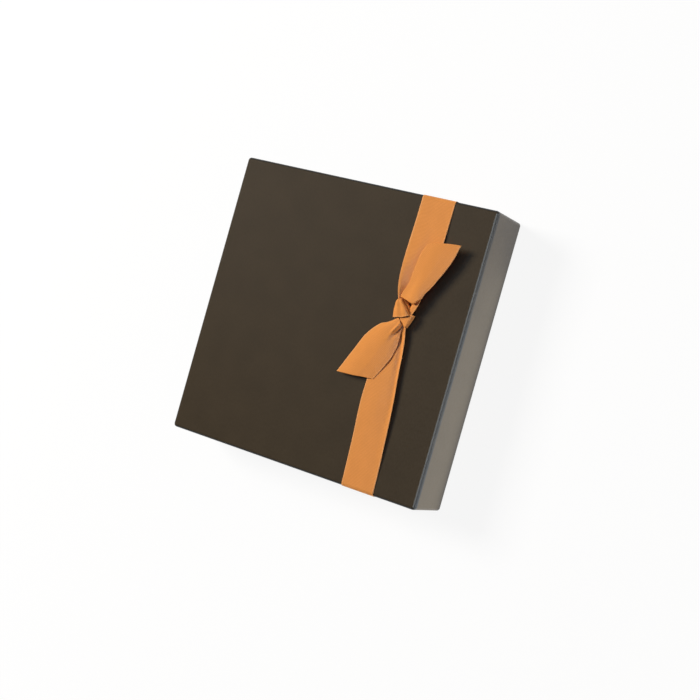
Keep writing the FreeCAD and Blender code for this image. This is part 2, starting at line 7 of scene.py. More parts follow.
import bpy
import numpy as np
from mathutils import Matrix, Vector

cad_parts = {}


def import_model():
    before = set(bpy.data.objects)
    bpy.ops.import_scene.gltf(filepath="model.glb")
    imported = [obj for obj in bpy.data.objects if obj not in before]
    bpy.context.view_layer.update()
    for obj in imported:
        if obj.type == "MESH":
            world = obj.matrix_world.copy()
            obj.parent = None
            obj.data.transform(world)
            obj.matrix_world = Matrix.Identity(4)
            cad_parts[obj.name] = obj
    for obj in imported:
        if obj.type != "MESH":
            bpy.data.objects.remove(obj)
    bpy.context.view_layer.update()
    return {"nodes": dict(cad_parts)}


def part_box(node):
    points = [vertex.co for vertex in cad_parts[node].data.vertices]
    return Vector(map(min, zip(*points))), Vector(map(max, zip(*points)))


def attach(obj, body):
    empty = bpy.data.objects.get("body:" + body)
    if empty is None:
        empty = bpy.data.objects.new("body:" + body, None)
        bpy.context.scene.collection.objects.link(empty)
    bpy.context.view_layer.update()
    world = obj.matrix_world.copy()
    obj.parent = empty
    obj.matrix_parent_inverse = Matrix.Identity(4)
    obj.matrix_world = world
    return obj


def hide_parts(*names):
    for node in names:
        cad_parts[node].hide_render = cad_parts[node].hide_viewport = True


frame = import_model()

MM = 0.001
NODES = frame["nodes"]
LID_LOW, LID_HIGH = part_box("lid_wrap")
LID_TOP = LID_HIGH.z

# Ribbon
RIBBON_WIDTH = 20.8 * MM
RIBBON_THICKNESS = 0.3 * MM
RIBBON_MIDDLE = 47.9 * MM
RIBBON_TUCK = 16 * MM
TAPE_THICKNESS = 0.1 * MM
FOLD_RADIUS = 1.8 * MM
RIM_RADIUS = 0.35 * MM
GRID_STEP = 0.35
GRID_COLUMNS = 48
ARC_STEPS = 6
KNOT_GATHERS = 5
GATHER_DEPTH = 0.1 * MM

# Noise of the materials: waves per unit of place, detail and stretch along the axes
CLOUD_NOISE = (55, 4)
FIBRE_NOISE = (1500, 5, (1, 0.35, 1))
PULP_NOISE = (700, 6)
FLECK_NOISE = (420, 2, (1, 2.5, 1))
HAZE_NOISE = (350, 3)
WARP_NOISE = (1, 3, (130, 900, 1))
SHADE_NOISE = (1, 3, (3, 90, 1))
NOISE_SPAN = (0.3, 0.7)

# Satin weave, with places across the ribbon as shares of its width
RIB_PITCH = 0.75 * MM
WEAVE_DEPTH = 0.07 * MM
SELVEDGE_SPAN = (0.015, 0.045)
ROLLED_SHARE = 0.06
RIB_HEIGHT, WARP_HEIGHT, SELVEDGE_HEIGHT = 0.6, 0.25, 0.8
RIB_TINT, SELVEDGE_TINT, SHADE_TINT = 0.5, 0.35, 0.5
SATIN_ROUGHNESS = 0.46
SATIN_SPECULAR = 0.3
SATIN_ANISOTROPY = 0.6
SHEEN_WEIGHT = 0.16
SHEEN_ROUGHNESS = 0.4

# Paper, board and tape
CLOUD_SHARE = 0.45
FIBRE_SPAN = (0.2, 0.8)
GLOSS_SPREAD = 0.06
WRAP_ROUGHNESS = 0.34
PAD_ROUGHNESS = 0.42
DIVIDER_ROUGHNESS = 0.6
KRAFT_ROUGHNESS = 0.55
CREAM_ROUGHNESS = 0.75
WRAP_GRAIN = 0.012 * MM
PAPER_GRAIN = 0.03 * MM
# Reach of the painted cool shade along the folds, its patches and least share, and the folds' added roughness
FOLD_INWARD = (0.56 * MM, 1.4 * MM)
FOLD_DOWNWARD = (2.04 * MM, 3.4 * MM)
FOLD_PATCHES = (0.35, 0.65)
FOLD_LEAST = 0.7
FOLD_DULLING = 0.12
PULP_DEPTH = 0.06 * MM
FLECK_SPAN = (0.64, 0.74)
FLECK_MOST = 0.7
BOARD_ROUGHNESS = 0.88
TAPE_ROUGHNESS = (0.25, 0.4)
TAPE_CLEARNESS = 0.35

# Darkest and lightest tint of each mottled material
PAPER_TINTS = (0.90, 1.10)
BOARD_TINTS = (0.86, 1.12)
TAPE_TINTS = (0.92, 1.05)
SATIN_TINTS = (0.93, 1.07)
SATIN_SHADE = 0.90

# Colours
WHITE = (1, 1, 1, 1)
BROWN = (0.045, 0.032, 0.018)
# Dark cool colour painted along the rounded folds as shade
FOLD_SHADE_COLOUR = (0.015, 0.018, 0.021, 1)
DIVIDER_COLOUR = (0.060, 0.045, 0.030)
PAD_COLOUR = (0.11, 0.065, 0.035)
BOARD_COLOUR = (0.30, 0.28, 0.25)
FLECK_COLOUR = (0.12, 0.10, 0.09)
KRAFT_COLOUR = (0.36, 0.24, 0.13)
CREAM_COLOUR = (0.70, 0.62, 0.50)
TAPE_COLOUR = (0.80, 0.78, 0.72)
SATIN_COLOUR = (0.765, 0.302, 0.073)
RIB_COLOUR = (0.55, 0.18, 0.036, 1)
SELVEDGE_COLOUR = (0.82, 0.42, 0.17, 1)
SHEEN_COLOUR = (1.0, 0.72, 0.45, 1)
FLOOR_COLOUR = (0.9, 0.9, 0.9, 1)

# Pad: squares each way, cuts in each, power of the bulge, crimp in squares, shares of half the thickness
PAD_SQUARES = 10
PAD_CUTS = 10
PAD_BULGE = 0.55
PAD_CRIMP = 0.25
PAD_EDGE, PAD_SEAM, PAD_SWELL = 0.12, 0.38, 0.5

# Camera, fitted to the outline of the box in the photograph
CAMERA_PLACE = Vector((375.96, 0.85, 682.81)) * MM
CAMERA_TURN = (7.70902, 27.84566, 17.98118)
CAMERA_LENS = 66.857
CAMERA_SENSOR = 36
CAMERA_NEAR = 0.05

# Lamps and surroundings
LID_MIDDLE = Vector((0, 0, LID_TOP))
KEY_PLACE = Vector((-1.75, 0.47, 1.62))
KEY_SIZE = (0.85, 0.85)
KEY_POWER = 79
KEY_COLOUR = (1.0, 0.97, 0.93)
SIDE_PLACE = Vector((1.5, 0.0, 0.12))
SIDE_SIZE = (2.0, 0.2)
SIDE_POWER = 11
SIDE_COLOUR = (1.0, 0.96, 0.90)
COOL_COLOUR = (0.80, 0.91, 1.0)
CARD_PLACE = Vector((0.15, -0.115, 0.001))
CARD_AIM = Vector((0.15, -0.115, 1.0))
CARD_SIZE = (0.12, 0.34)
CARD_POWER = 0.69
RIM_PLACE = Vector((0.72, 0.0, 1.35))
RIM_AIM = Vector((0.085, 0.0, 0.034))
RIM_SIZE = (1.2, 1.2)
RIM_POWER = 22
PANEL_PLACE = Vector((-1.25, 0.55, 1.60))
PANEL_SIZE = (1.2, 1.2)
PANEL_POWER = 2.4
SKY_STRENGTH = 0.08
FLOOR_HALF = 3.0
FLOOR_ROUGHNESS = 0.9
FLOOR_GLOW = 0.90
FLOOR_NEAR, FLOOR_FAR = 0.2, 0.9


# Node materials

def plug(tree, socket, value):
    """Set an input to a value, or link it from another node's socket."""
    if isinstance(value, bpy.types.NodeSocket):
        tree.links.new(value, socket)
    else:
        socket.default_value = value


def add(tree, kind, inputs=(), **settings):
    """A node of a kind, with settings, and with inputs given as pairs of name or number and value."""
    node = tree.nodes.new(kind)
    for name, value in settings.items():
        setattr(node, name, value)
    for key, value in inputs:
        plug(tree, node.inputs[key], value)
    return node


def math_node(tree, operation, *values):
    """The result of one sum on sockets or numbers."""
    return add(tree, "ShaderNodeMath", enumerate(values), operation=operation).outputs[0]


def weighted(tree, *pairs):
    """The total of sockets, each times its share."""
    total = 0.0
    for value, share in pairs:
        total = math_node(tree, "MULTIPLY_ADD", value, share, total)
    return total


def remap(tree, value, low, high, to_low, to_high):
    """A value moved from one range to another, clamped, with soft ends."""
    pairs = (("Value", value), (1, low), (2, high), (3, to_low), (4, to_high))
    return add(tree, "ShaderNodeMapRange", pairs, interpolation_type="SMOOTHSTEP").outputs[0]


def blend_colour(tree, share, first, second):
    """A mix of two colours."""
    node = add(tree, "ShaderNodeMix", data_type="RGBA")
    for name, value in (("Factor_Float", share), ("A_Color", first), ("B_Color", second)):
        socket = next(each for each in node.inputs if each.identifier == name)
        plug(tree, socket, value)
    return next(each for each in node.outputs if each.identifier == "Result_Color")


def tinted(colour, factor):
    """A colour made lighter or darker, as RGBA."""
    return (*(min(1.0, part * factor) for part in colour), 1.0)


def mottled(tree, value, colour, tints):
    """A colour that wavers with a noise between its darkest and its lightest tint."""
    darkest, lightest = (tinted(colour, factor) for factor in tints)
    return blend_colour(tree, remap(tree, value, *NOISE_SPAN, 0, 1), darkest, lightest)


def noise(tree, place, scale, detail, stretch=(1, 1, 1)):
    """Noise at a scale in waves per unit of place, stretched along the axes."""
    spread = add(tree, "ShaderNodeMapping", (("Vector", place), ("Scale", stretch)))
    pairs = (("Vector", spread.outputs[0]), ("Scale", scale), ("Detail", detail))
    return add(tree, "ShaderNodeTexNoise", pairs).outputs["Fac"]


def bump(tree, height, depth):
    """A bump normal from a height of nought to one that stands for a depth in metres."""
    pairs = (("Strength", 1.0), ("Distance", depth), ("Height", height))
    return add(tree, "ShaderNodeBump", pairs).outputs[0]


def new_material(name):
    """An empty node material with its tree and shader."""
    made = bpy.data.materials.new(name)
    made.use_nodes = True
    return made, made.node_tree, made.node_tree.nodes["Principled BSDF"]


def row_place(tree):
    """Coordinates of the frame, in metres."""
    return add(tree, "ShaderNodeTexCoord").outputs["Object"]


def fold_nearness(tree, place, low, high):
    """One on the fold round the top of a box and nought a little way in and down from it."""
    middle = (low + high) / 2
    half = (high - low) / 2
    parts = add(tree, "ShaderNodeSeparateXYZ", (("Vector", place),))
    gaps = []
    for axis in range(2):
        offset = math_node(tree, "SUBTRACT", parts.outputs[axis], middle[axis])
        gaps.append(math_node(tree, "SUBTRACT", half[axis], math_node(tree, "ABSOLUTE", offset)))
    inward = math_node(tree, "MINIMUM", gaps[0], gaps[1])
    downward = math_node(tree, "SUBTRACT", high.z, parts.outputs[2])
    beside = remap(tree, inward, *FOLD_INWARD, 1, 0)
    below = remap(tree, downward, *FOLD_DOWNWARD, 1, 0)
    return math_node(tree, "MULTIPLY", beside, below)


def paper_material(name, colour, roughness, grain, node=None):
    """Paper with cloudy colour, fine fibres and, for the covering of a tray, duller folds with painted cool
    shade along them.
    """
    made, tree, shader = new_material(name)
    place = row_place(tree)
    cloud = noise(tree, place, *CLOUD_NOISE)
    fibre = noise(tree, place, *FIBRE_NOISE)
    shade = weighted(tree, (cloud, CLOUD_SHARE), (fibre, 1 - CLOUD_SHARE))
    tone = mottled(tree, shade, colour, PAPER_TINTS)
    gloss = remap(tree, fibre, *FIBRE_SPAN, roughness - GLOSS_SPREAD, roughness + GLOSS_SPREAD)
    if node:
        low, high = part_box(node)
        # Painted shade: a dark cool colour is blended in patches onto the rounded fold to stand for the shade
        # line there
        patchy = remap(tree, cloud, *FOLD_PATCHES, FOLD_LEAST, 1)
        fold_shade = math_node(tree, "MULTIPLY", fold_nearness(tree, place, low, high), patchy)
        tone = blend_colour(tree, fold_shade, tone, FOLD_SHADE_COLOUR)
        gloss = math_node(tree, "MULTIPLY_ADD", fold_shade, FOLD_DULLING, gloss)
    plug(tree, shader.inputs["Base Color"], tone)
    plug(tree, shader.inputs["Roughness"], gloss)
    plug(tree, shader.inputs["Normal"], bump(tree, fibre, grain))
    return made


def board_material(name, colour, fleck):
    """Raw board: soft pulp with darker flecks."""
    made, tree, shader = new_material(name)
    place = row_place(tree)
    pulp = noise(tree, place, *PULP_NOISE)
    flecks = noise(tree, place, *FLECK_NOISE)
    tone = mottled(tree, pulp, colour, BOARD_TINTS)
    tone = blend_colour(tree, remap(tree, flecks, *FLECK_SPAN, 0, FLECK_MOST), tone, tinted(fleck, 1))
    plug(tree, shader.inputs["Base Color"], tone)
    shader.inputs["Roughness"].default_value = BOARD_ROUGHNESS
    plug(tree, shader.inputs["Normal"], bump(tree, pulp, PULP_DEPTH))
    return made


def tape_material(name, colour):
    """Cloudy translucent tape."""
    made, tree, shader = new_material(name)
    haze = noise(tree, row_place(tree), *HAZE_NOISE)
    darkest, lightest = (tinted(colour, factor) for factor in TAPE_TINTS)
    plug(tree, shader.inputs["Base Color"], blend_colour(tree, haze, darkest, lightest))
    plug(tree, shader.inputs["Roughness"], remap(tree, haze, *NOISE_SPAN, *TAPE_ROUGHNESS))
    shader.inputs["Transmission Weight"].default_value = TAPE_CLEARNESS
    return made


def satin_material(name, colour):
    """Satin ribbon: fine warp threads along it, weft ribs across it and a firm paler edge."""
    made, tree, shader = new_material(name)
    strip = add(tree, "ShaderNodeUVMap", uv_map="strip").outputs[0]
    parts = add(tree, "ShaderNodeSeparateXYZ", (("Vector", strip),))
    across, along = parts.outputs[0], parts.outputs[1]
    turns = math_node(tree, "MULTIPLY", along, 2 * math.pi / RIB_PITCH)
    rib = math_node(tree, "MULTIPLY_ADD", math_node(tree, "SINE", turns), 0.5, 0.5)
    warp = noise(tree, strip, *WARP_NOISE)
    cloud = noise(tree, strip, *SHADE_NOISE)
    edge_gap = math_node(tree, "MINIMUM", across, math_node(tree, "SUBTRACT", 1.0, across))
    selvedge = remap(tree, edge_gap, *SELVEDGE_SPAN, 1, 0)
    tone = mottled(tree, warp, colour, SATIN_TINTS)
    shade = remap(tree, cloud, *NOISE_SPAN, 0, SHADE_TINT)
    tone = blend_colour(tree, shade, tone, tinted(colour, SATIN_SHADE))
    tone = blend_colour(tree, math_node(tree, "MULTIPLY", rib, RIB_TINT), tone, RIB_COLOUR)
    tone = blend_colour(tree, math_node(tree, "MULTIPLY", selvedge, SELVEDGE_TINT), tone, SELVEDGE_COLOUR)
    plug(tree, shader.inputs["Base Color"], tone)
    shader.inputs["Roughness"].default_value = SATIN_ROUGHNESS
    shader.inputs["Specular IOR Level"].default_value = SATIN_SPECULAR
    shader.inputs["Anisotropic"].default_value = SATIN_ANISOTROPY
    shader.inputs["Sheen Weight"].default_value = SHEEN_WEIGHT
    shader.inputs["Sheen Roughness"].default_value = SHEEN_ROUGHNESS
    shader.inputs["Sheen Tint"].default_value = SHEEN_COLOUR
    height = weighted(tree, (rib, RIB_HEIGHT), (warp, WARP_HEIGHT), (selvedge, SELVEDGE_HEIGHT))
    plug(tree, shader.inputs["Normal"], bump(tree, height, WEAVE_DEPTH))
    tangent = add(tree, "ShaderNodeTangent", direction_type="UV_MAP", uv_map="strip")
    plug(tree, shader.inputs["Tangent"], tangent.outputs[0])
    return made


def wrap_paper(name, node):
    """The dark brown covering paper of a node."""
    return paper_material(name, BROWN, WRAP_ROUGHNESS, WRAP_GRAIN, node)


SATIN = satin_material("copper_satin_woven", SATIN_COLOUR)
PAD_PAPER = paper_material("pad_paper_embossed", PAD_COLOUR, PAD_ROUGHNESS, PAPER_GRAIN)
DIVIDER = paper_material("divider_card_brown", DIVIDER_COLOUR, DIVIDER_ROUGHNESS, PAPER_GRAIN)
BOARD = board_material("grey_board_pulp", BOARD_COLOUR, FLECK_COLOUR)
KRAFT = paper_material("gummed_paper_kraft", KRAFT_COLOUR, KRAFT_ROUGHNESS, PAPER_GRAIN)
CREAM = paper_material("lining_paper_cream", CREAM_COLOUR, CREAM_ROUGHNESS, PAPER_GRAIN)
TAPE = tape_material("clear_tape_hazy", TAPE_COLOUR)

FINISHES = {
    "lid_wrap": wrap_paper("brown_paper_lid", "lid_wrap"),
    "base_wrap": wrap_paper("brown_paper_base", "base_wrap"),
    "base_bottom_sheet": wrap_paper("brown_paper_sheet", "base_bottom_sheet"),
    "lid_board": BOARD,
    "base_board": BOARD,
    "lid_corner_stays": KRAFT,
    "base_corner_stays": KRAFT,
    "lid_lining": CREAM,
    "base_lining": CREAM,
    "ribbon_end_tapes": TAPE,
}


def finish_nodes():
    """Give every CAD node that shows its material."""
    for name, thing in NODES.items():
        finish = DIVIDER if name.startswith("divider") else FINISHES.get(name)
        if finish:
            thing.data.materials.clear()
            thing.data.materials.append(finish)


# Surfaces

def on_lid(points):
    """Points in millimetres from the middle of the lid's top, in metres in the frame."""
    return np.array(points, float) * MM + np.array([0, 0, LID_TOP])


def through(points, step):
    """A smooth curve through rows of points, cut again into even steps."""
    gaps = np.linalg.norm(np.diff(points, axis=0), axis=2).mean(axis=1)
    places = np.concatenate([[0], np.cumsum(gaps)])
    slopes = np.diff(points, axis=0) / gaps[:, None, None]
    inner = slopes[:-1] * gaps[1:, None, None] + slopes[1:] * gaps[:-1, None, None]
    inner = inner / (gaps[:-1] + gaps[1:])[:, None, None]
    tangents = np.concatenate([slopes[:1], inner, slopes[-1:]])
    wanted = np.linspace(0, places[-1], max(2, round(places[-1] / step)) + 1)
    span = np.clip(np.searchsorted(places, wanted, side="right") - 1, 0, len(gaps) - 1)
    share = ((wanted - places[span]) / gaps[span])[:, None, None]
    reach = gaps[span][:, None, None]
    start, end = points[span], points[span + 1]
    leave, arrive = tangents[span] * reach, tangents[span + 1] * reach
    square, cube = share ** 2, share ** 3
    return (
        (2 * cube - 3 * square + 1) * start
        + (cube - 2 * square + share) * leave
        + (3 * square - 2 * cube) * end
        + (cube - square) * arrive
    )


def smooth_grid(net):
    """A fine grid in the frame through a net of points, whose rows run from edge to edge of the ribbon."""
    rows = through(np.array(net, float), GRID_STEP)
    sides = rows.swapaxes(0, 1)
    width = np.linalg.norm(np.diff(sides, axis=0), axis=2).mean(axis=1).sum()
    return on_lid(through(sides, width / GRID_COLUMNS).swapaxes(0, 1))


def shell(name, top, bottom):
    """A closed mesh between two like grids, smooth but for its rim, and the point numbers of its faces."""
    rows, columns = top.shape[:2]
    index = np.arange(rows * columns).reshape(rows, columns)
    corners = [index[:-1, :-1], index[1:, :-1], index[1:, 1:], index[:-1, 1:]]
    quads = np.stack(corners, axis=-1).reshape(-1, 4)
    border = np.concatenate([index[:-1, 0], index[-1, :-1], index[:0:-1, -1], index[0, :0:-1]])
    after = np.roll(border, -1)
    under = rows * columns
    rim = np.stack([border, border + under, after + under, after], axis=-1)
    faces = np.concatenate([quads, quads[:, ::-1] + under, rim])
    mesh = bpy.data.meshes.new(name)
    mesh.from_pydata(np.concatenate([top, bottom]).reshape(-1, 3).tolist(), [], faces.tolist())
    mesh.polygons.foreach_set("use_smooth", np.arange(len(faces)) < 2 * len(quads))
    return mesh, faces


def add_piece(name, mesh, material, body):
    """A visible piece from a mesh, with its material, that rides on a body."""
    mesh.materials.append(material)
    piece = bpy.data.objects.new(name, mesh)
    bpy.context.scene.collection.objects.link(piece)
    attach(piece, body)
    return piece


# Ribbon

def raised(grid):
    """The upper face of a ribbon whose lower face is a grid: rows across it, then rows along it."""
    normals = np.cross(np.gradient(grid, axis=0), np.gradient(grid, axis=1))
    normals /= np.linalg.norm(normals, axis=2, keepdims=True)
    return grid + normals * RIBBON_THICKNESS


def weave_places(grid, rolled):
    """For each point of a grid, its share of the ribbon's width and its way along the ribbon in metres."""
    steps = np.linalg.norm(np.diff(grid, axis=1), axis=2)
    along = np.concatenate([np.zeros((len(grid), 1)), np.cumsum(steps, axis=1)], axis=1)
    across = np.broadcast_to(np.linspace(rolled, 1, len(grid))[:, None], along.shape)
    return np.stack([across, along], axis=-1)


def strip_object(name, grid, turned=False, rolled=0.0):
    """A piece of ribbon from a grid.

    On a turned piece the ribbon runs along each row and not from row to row. Rolled is the share of the width
    left out of the weave places at the left, so that no paler edge shows there.
    """
    lower = grid.swapaxes(0, 1)
    mesh, faces = shell(name, raised(lower), lower)
    strip = weave_places(grid, rolled).swapaxes(0, 1) if turned else weave_places(lower, rolled)
    points = np.concatenate([strip, strip]).reshape(-1, 2)
    layer = mesh.uv_layers.new(name="strip")
    layer.data.foreach_set("uv", points[faces.ravel()].astype(np.float32).ravel())
    piece = add_piece(name, mesh, SATIN, "lid")
    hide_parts("ribbon_" + name)


def rounded(corners, radii):
    """A route through square corners in a plane, with a quarter arc at each inner corner."""
    corners = np.array(corners, float)
    route = [corners[0]]
    for before, corner, after, radius in zip(corners, corners[1:], corners[2:], radii):
        back = (before - corner) / np.linalg.norm(before - corner)
        ahead = (after - corner) / np.linalg.norm(after - corner)
        centre = corner + (back + ahead) * radius
        for turn in np.linspace(0, math.pi / 2, ARC_STEPS + 1):
            route.append(centre - ahead * radius * math.cos(turn) - back * radius * math.sin(turn))
    return np.array([*route, corners[-1]])


def band(name, side, rows):
    """A band of ribbon from inside an end wall, round the rim, up the wall and over the lid to the knot."""
    net = [[(x, y, height) for x, height in zip(places, heights)] for y, places, heights in rows]
    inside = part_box("ribbon_end_tapes")[1].y - TAPE_THICKNESS
    wall, rim = LID_HIGH.y, LID_LOW.z
    corners = [
        (inside, rim + RIBBON_TUCK),
        (inside, rim),
        (wall, rim),
        (wall, LID_TOP),
        (0, LID_TOP),
    ]
    route = rounded(corners, (RIM_RADIUS, RIM_RADIUS, FOLD_RADIUS))
    top = smooth_grid(net)
    left = RIBBON_MIDDLE - RIBBON_WIDTH / 2
    across = np.linspace(left, left + RIBBON_WIDTH, top.shape[1])
    wall_rows = np.array([[(x, side * y, z) for x in across] for y, z in route[:-2]])
    grid = np.concatenate([wall_rows, top])
    if side > 0:
        grid = grid[:, ::-1]
    strip_object(name, grid)


def gathered(grid):
    """A grid with fine gathers that run from its first row to its last."""
    turns = np.linspace(0, 2 * math.pi * KNOT_GATHERS, grid.shape[1])
    lift = np.zeros((grid.shape[1], 3))
    lift[:, 2] = GATHER_DEPTH * np.cos(turns)
    return grid + lift


# Rows of a band: place along the lid, then places across it and heights over it from left to right
UPPER_BAND = [
    (83.2, (37.5, 41.0, 44.4, 47.9, 51.4, 54.8, 58.3), (0, 0, 0, 0, 0, 0, 0)),
    (72.0, (37.6, 41.0, 44.4, 47.9, 51.4, 54.8, 58.3), (0.4, 0.4, 0.3, 0.3, 0.3, 0.3, 0.3)),
    (60.0, (37.6, 41.4, 45.2, 48.8, 51.6, 54.8, 58.3), (1.1, 1.2, 1.2, 0.8, 0.7, 0.8, 0.8)),
    (48.0, (37.8, 40.0, 42.8, 46.2, 50.4, 54.4, 57.6), (2.0, 2.1, 1.8, 0.9, 0.8, 1.1, 1.3)),
    (38.0, (38.4, 39.7, 41.4, 44.6, 48.6, 52.2, 55.6), (2.7, 2.6, 2.0, 0.8, 0.6, 0.8, 1.2)),
    (31.0, (39.8, 40.9, 41.9, 43.8, 46.4, 49.2, 51.6), (3.4, 3.3, 2.6, 1.1, 0.6, 0.8, 1.4)),
    (26.6, (41.4, 42.1, 42.8, 43.9, 45.4, 47.0, 48.4), (3.9, 3.8, 3.1, 1.7, 0.9, 1.0, 1.4)),
    (22.0, (43.0, 43.5, 44.1, 45.0, 46.2, 47.4, 48.4), (3.4, 3.2, 2.6, 1.8, 1.4, 1.4, 1.6)),
]
LOWER_BAND = [
    (-83.2, (37.5, 41.0, 44.4, 47.9, 51.4, 54.8, 58.3), (0, 0, 0, 0, 0, 0, 0)),
    (-72.0, (37.2, 40.7, 44.1, 47.6, 51.1, 54.5, 58.0), (0.3, 0.4, 0.4, 0.4, 0.4, 0.3, 0.3)),
    (-58.0, (36.8, 40.2, 43.7, 47.2, 50.6, 54.2, 57.5), (0.9, 1.0, 1.1, 1.0, 0.9, 0.8, 1.0)),
    (-30.0, (35.9, 39.4, 43.0, 46.6, 50.6, 54.2, 55.9), (2.0, 2.2, 2.3, 2.3, 1.9, 1.5, 2.0)),
    (-16.0, (37.0, 40.0, 43.0, 46.2, 49.6, 52.8, 54.4), (2.2, 2.4, 2.3, 2.2, 2.0, 1.5, 2.2)),
    (-4.0, (40.4, 42.6, 44.8, 46.8, 49.0, 51.5, 53.4), (2.4, 1.8, 1.8, 1.8, 1.9, 1.4, 2.4)),
    (4.0, (43.6, 44.8, 46.0, 47.2, 48.6, 50.2, 52.4), (2.2, 1.4, 1.8, 1.4, 1.6, 1.8, 2.8)),
    (10.0, (45.4, 46.0, 46.6, 47.2, 47.9, 48.9, 51.2), (2.2, 1.4, 1.8, 1.4, 1.8, 2.5, 3.0)),
    (14.0, (46.2, 46.6, 47.1, 47.7, 48.2, 49.0, 50.4), (2.2, 1.4, 2.0, 1.4, 1.8, 2.4, 2.8)),
]

# Rows of the other pieces, out from the knot, as (x, y, height) from the left edge to the right edge
UPPER_TAIL = [
    [(45.4, 25.6, 1.2), (46.8, 25.4, 0.9), (48.6, 24.4, 0.7),
     (50.4, 22.0, 0.8), (51.1, 17.6, 3.6), (52.6, 16.8, 3.9)],
    [(44.6, 26.2, 2.4), (46.6, 26.4, 2.0), (49.4, 25.8, 1.5),
     (52.0, 24.7, 1.7), (51.7, 22.4, 4.2), (55.2, 22.2, 4.6)],
    [(43.9, 26.3, 3.6), (46.6, 26.2, 3.8), (50.0, 25.4, 4.1),
     (52.9, 25.2, 4.3), (54.6, 26.6, 4.4), (56.5, 28.2, 4.7)],
    [(43.6, 26.1, 4.4), (46.3, 25.7, 5.0), (50.2, 24.6, 5.9),
     (53.1, 24.1, 6.1), (55.0, 26.0, 6.0), (56.9, 28.3, 5.2)],
    [(44.0, 28.0, 4.6), (47.0, 27.6, 5.0), (50.6, 27.0, 6.1),
     (53.4, 27.0, 6.3), (55.6, 28.0, 6.0), (57.4, 29.6, 5.2)],
    [(44.9, 30.4, 4.8), (47.9, 30.5, 5.2), (51.1, 30.4, 6.0),
     (53.8, 30.5, 6.2), (56.2, 30.8, 5.8), (58.2, 31.2, 5.1)],
    [(46.9, 35.6, 5.0), (49.8, 35.6, 5.4), (52.6, 35.5, 5.9),
     (55.4, 35.5, 6.0), (58.2, 35.4, 5.6), (60.8, 35.3, 5.0)],
    [(47.3, 40.4, 5.1), (50.6, 40.5, 5.5), (53.9, 40.6, 5.9),
     (57.2, 40.6, 6.0), (60.4, 40.4, 5.6), (63.4, 40.2, 5.1)],
    [(49.5, 53.6, 5.4), (53.6, 53.6, 5.8), (57.6, 53.7, 6.1),
     (61.6, 53.7, 6.1), (65.6, 53.8, 5.8), (69.5, 53.9, 5.4)],
    [(51.5, 58.0, 5.6), (55.6, 59.1, 5.9), (59.8, 60.0, 6.1),
     (63.8, 60.6, 6.2), (67.8, 61.0, 6.1), (71.4, 61.3, 5.9)],
]
LOWER_TAIL = [
    [(45.6, 14.6, 4.2), (46.2, 14.2, 4.4), (46.9, 13.5, 4.5), (48.6, 11.6, 4.4),
     (48.9, 11.4, 3.5), (49.2, 11.1, 3.2), (49.4, 10.8, 2.9)],
    [(42.4, 12.2, 4.2), (44.0, 11.6, 4.8), (45.8, 10.4, 5.0), (47.4, 8.9, 5.0),
     (47.7, 8.6, 3.7), (48.4, 7.9, 3.4), (49.1, 7.2, 3.0)],
    [(39.6, 10.5, 4.1), (41.8, 9.6, 5.0), (44.2, 7.9, 5.2), (45.7, 6.4, 5.1),
     (46.0, 6.1, 4.1), (47.5, 5.0, 3.7), (49.1, 3.8, 3.1)],
    [(36.2, 9.2, 3.9), (39.4, 7.4, 5.0), (42.6, 5.2, 5.2), (44.3, 4.0, 4.9),
     (44.7, 3.7, 4.5), (46.9, 1.7, 3.8), (49.1, -0.3, 2.7)],
    [(33.4, 7.0, 3.7), (37.4, 4.8, 4.8), (41.0, 2.4, 5.0), (43.2, 0.9, 4.7),
     (43.7, 0.6, 4.5), (46.3, -1.3, 3.8), (48.6, -3.2, 2.7)],
    [(28.0, 0.7, 3.4), (32.0, -1.4, 4.3), (36.2, -3.5, 4.7), (39.8, -5.3, 4.6),
     (40.4, -5.6, 4.5), (44.0, -7.3, 3.9), (47.2, -8.9, 2.9)],
    [(24.4, -6.6, 3.2), (28.4, -8.8, 4.1), (32.6, -10.9, 4.5), (36.6, -12.8, 4.5),
     (37.2, -13.1, 4.4), (40.7, -14.6, 3.8), (43.8, -15.8, 3.0)],
    [(16.3, -24.0, 3.0), (21.2, -23.8, 3.8), (26.2, -23.6, 4.1), (30.8, -23.2, 4.0),
     (31.4, -23.1, 3.9), (36.0, -22.7, 3.5), (40.2, -22.4, 2.9)],
]
KNOT_WRAP = [
    [(41.9, 13.5, 0.6), (42.1, 13.9, 3.4), (44.6, 14.5, 4.8), (48.6, 15.3, 5.4),
     (51.6, 16.7, 5.9), (52.3, 17.4, 4.2), (52.5, 17.9, 4.2), (52.3, 18.2, 2.6)],
    [(41.3, 19.2, 0.6), (41.7, 19.4, 4.2), (43.4, 19.8, 5.4), (46.4, 20.3, 5.9),
     (48.7, 20.7, 6.4), (49.1, 21.1, 3.6), (49.9, 21.5, 4.3), (50.1, 21.8, 2.2)],
    [(42.0, 24.4, 1.0), (42.2, 24.5, 3.0), (43.0, 24.6, 4.5), (44.3, 24.7, 4.9),
     (45.2, 24.6, 4.5), (45.4, 24.7, 3.2), (45.7, 24.8, 3.1), (45.8, 24.9, 2.0)],
    [(43.2, 25.2, 0.8), (43.4, 25.2, 1.8), (44.0, 25.2, 2.6), (44.6, 25.2, 2.8),
     (45.2, 25.0, 2.6), (45.5, 24.9, 2.3), (45.8, 24.9, 2.2), (46.0, 24.8, 1.6)],
    [(43.4, 19.0, 0.4), (43.6, 19.0, 1.4), (44.4, 19.2, 2.2), (45.4, 19.4, 2.4),
     (46.2, 19.5, 2.3), (46.8, 19.6, 2.1), (47.2, 19.7, 1.9), (47.5, 19.8, 1.4)],
]
